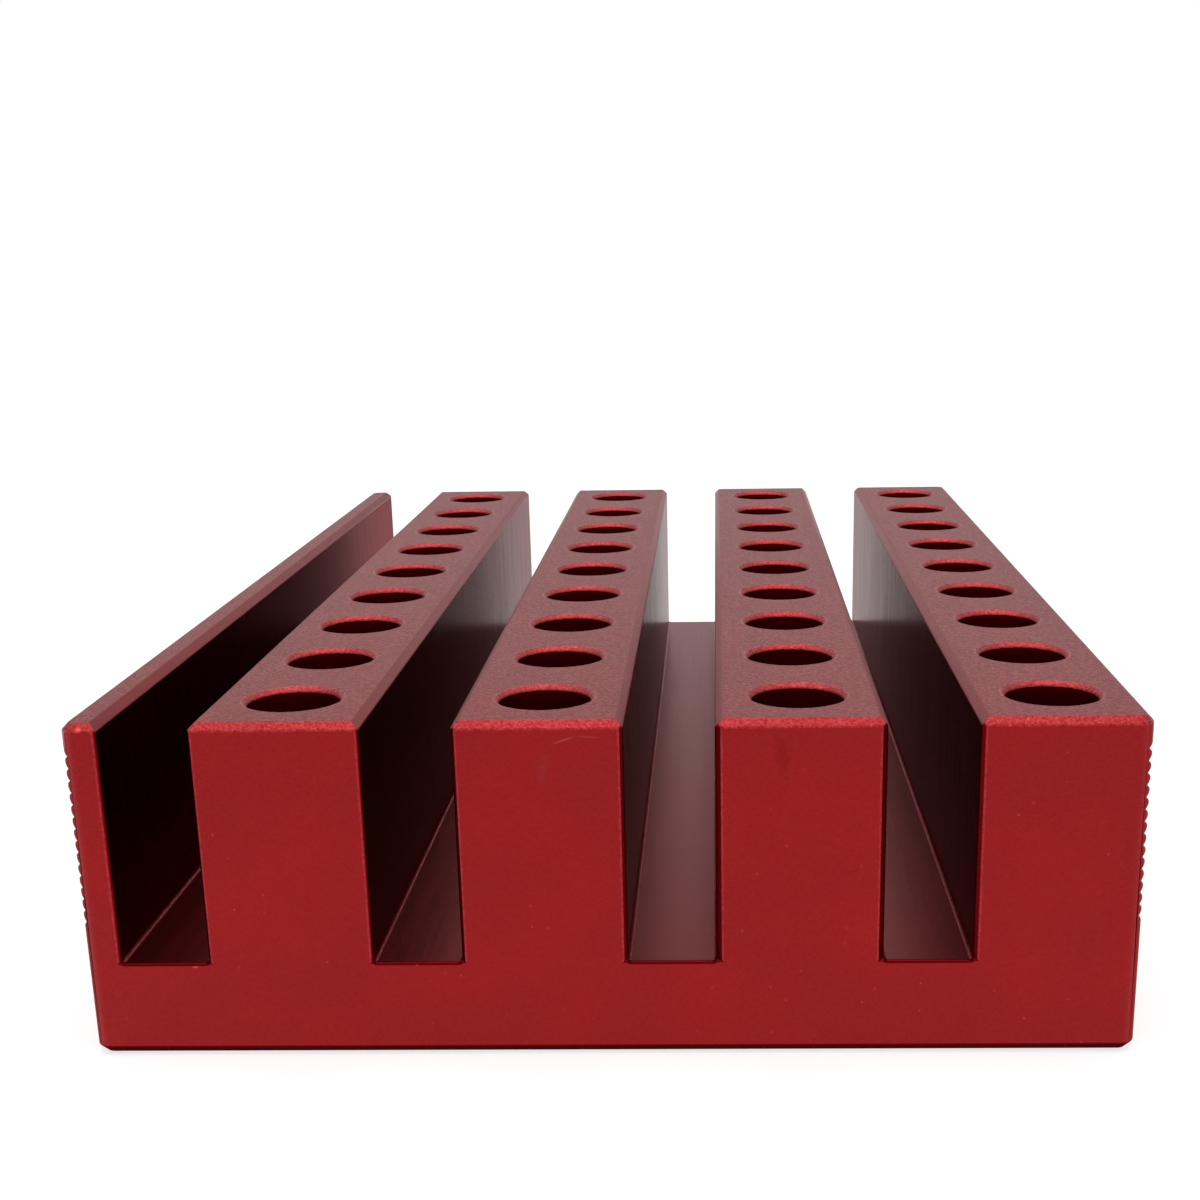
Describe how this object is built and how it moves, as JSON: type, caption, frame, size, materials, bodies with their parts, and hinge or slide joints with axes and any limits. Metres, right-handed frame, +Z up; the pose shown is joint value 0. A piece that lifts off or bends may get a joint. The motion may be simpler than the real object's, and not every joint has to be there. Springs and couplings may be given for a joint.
{
  "type": "cold block",
  "caption": "Slotted, anodised aluminium block with rows of straight wells on its ribs, for keeping small tubes cold on the bench.",
  "frame": {"origin": "centre of the underside, on the surface that the block stands on", "axes": "+Z up, +Y along the ribs towards the back, +X across the ribs with the thin wall at -X"},
  "size_m": [0.0854, 0.1278, 0.0284],
  "materials": {
    "red_anodised_aluminium": "bead blasted and anodised red, satin"
  },
  "bodies": {
    "root": {"cold_block": "red_anodised_aluminium"}
  },
  "joints": []
}
